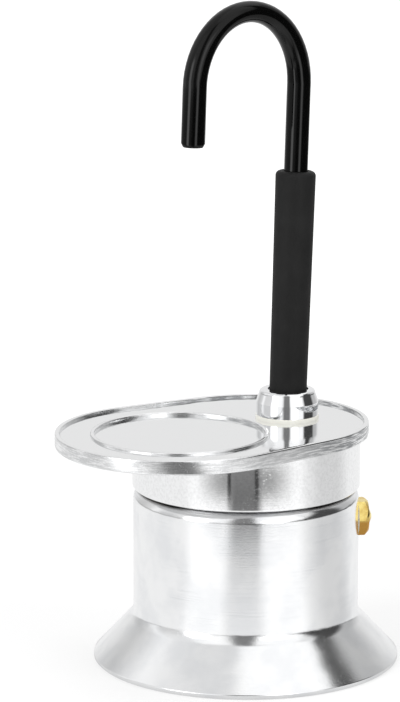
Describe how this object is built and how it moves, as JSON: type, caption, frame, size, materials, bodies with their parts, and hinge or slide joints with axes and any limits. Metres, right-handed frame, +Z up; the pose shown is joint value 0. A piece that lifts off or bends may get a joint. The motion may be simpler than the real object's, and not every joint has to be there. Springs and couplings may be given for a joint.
{
  "type": "stovetop espresso maker",
  "caption": "Stovetop espresso maker: boiler on a flared foot with a brass safety valve, screw-on head with an egg-shaped rimmed serving tray, and a black gooseneck spout with a grip.",
  "frame": {"origin": "centre of the boiler's base, on the surface that it stands on", "axes": "+Z up along the boiler's axis; the spout lies in the XZ plane, with its collar towards +X and its tip and the serving end of the tray towards -X"},
  "size_m": [0.0932, 0.08, 0.1729],
  "materials": {
    "boiler_metal": "turned and polished, with fine rings and light scratches",
    "head_metal": "cast and polished, mirror-like on the tray's floor",
    "collar_chrome": "mirror",
    "tube_black": "gloss black coating",
    "grip_rubber": "matte black silicone",
    "silicone": "pale translucent silicone",
    "valve_brass": "turned brass",
    "valve_fibre": "pale pressed fibre",
    "spring_steel": "bright spring wire",
    "funnel_metal": "drawn sheet, satin",
    "sieve_metal": "pierced sheet, satin"
  },
  "bodies": {
    "boiler": {"boiler": "boiler_metal", "valve_washer": "valve_fibre", "valve_body": "valve_brass", "valve_cap": "valve_brass", "valve_spring": "spring_steel"},
    "relief_pin": {"valve_pin": "valve_brass", "valve_seal": "silicone"},
    "basket": {"funnel_cup": "funnel_metal", "funnel_stem": "funnel_metal", "funnel_sieve": "sieve_metal"},
    "gasket": {"gasket": "silicone"},
    "filter": {"filter_plate": "sieve_metal"},
    "head": {"collector_head": "head_metal", "collar_washer": "silicone", "spout_collar": "collar_chrome", "spout_tube": "tube_black", "grip_sleeve": "grip_rubber"}
  },
  "joints": [
    {"name": "basket_lift", "type": "slide", "parent": "boiler", "child": "basket", "axis": [0, 0, 1], "range_m": [0, 0.06]},
    {"name": "head_lift", "type": "slide", "parent": "basket", "child": "gasket", "axis": [0, 0, 1], "range_m": [0, 0.06]},
    {"name": "thread_rise", "type": "slide", "parent": "gasket", "child": "filter", "axis": [0, 0, 1], "range_m": [0, 0.0075]},
    {"name": "head_turn", "type": "hinge", "parent": "filter", "child": "head", "pos_m": [0, 0, 0.05], "axis": [0, 0, 1], "range_deg": [0, 1080]},
    {"name": "valve_lift", "type": "slide", "parent": "boiler", "child": "relief_pin", "axis": [0.866, -0.5, 0], "range_m": [0, 0.0008], "stiffness_N_per_m": 1500, "springref_m": -0.001, "deforming": ["valve_spring"]}
  ],
  "couplings": [
    {"joint": "thread_rise", "follows": "head_turn", "m_per_rad": 0.00039789}
  ]
}
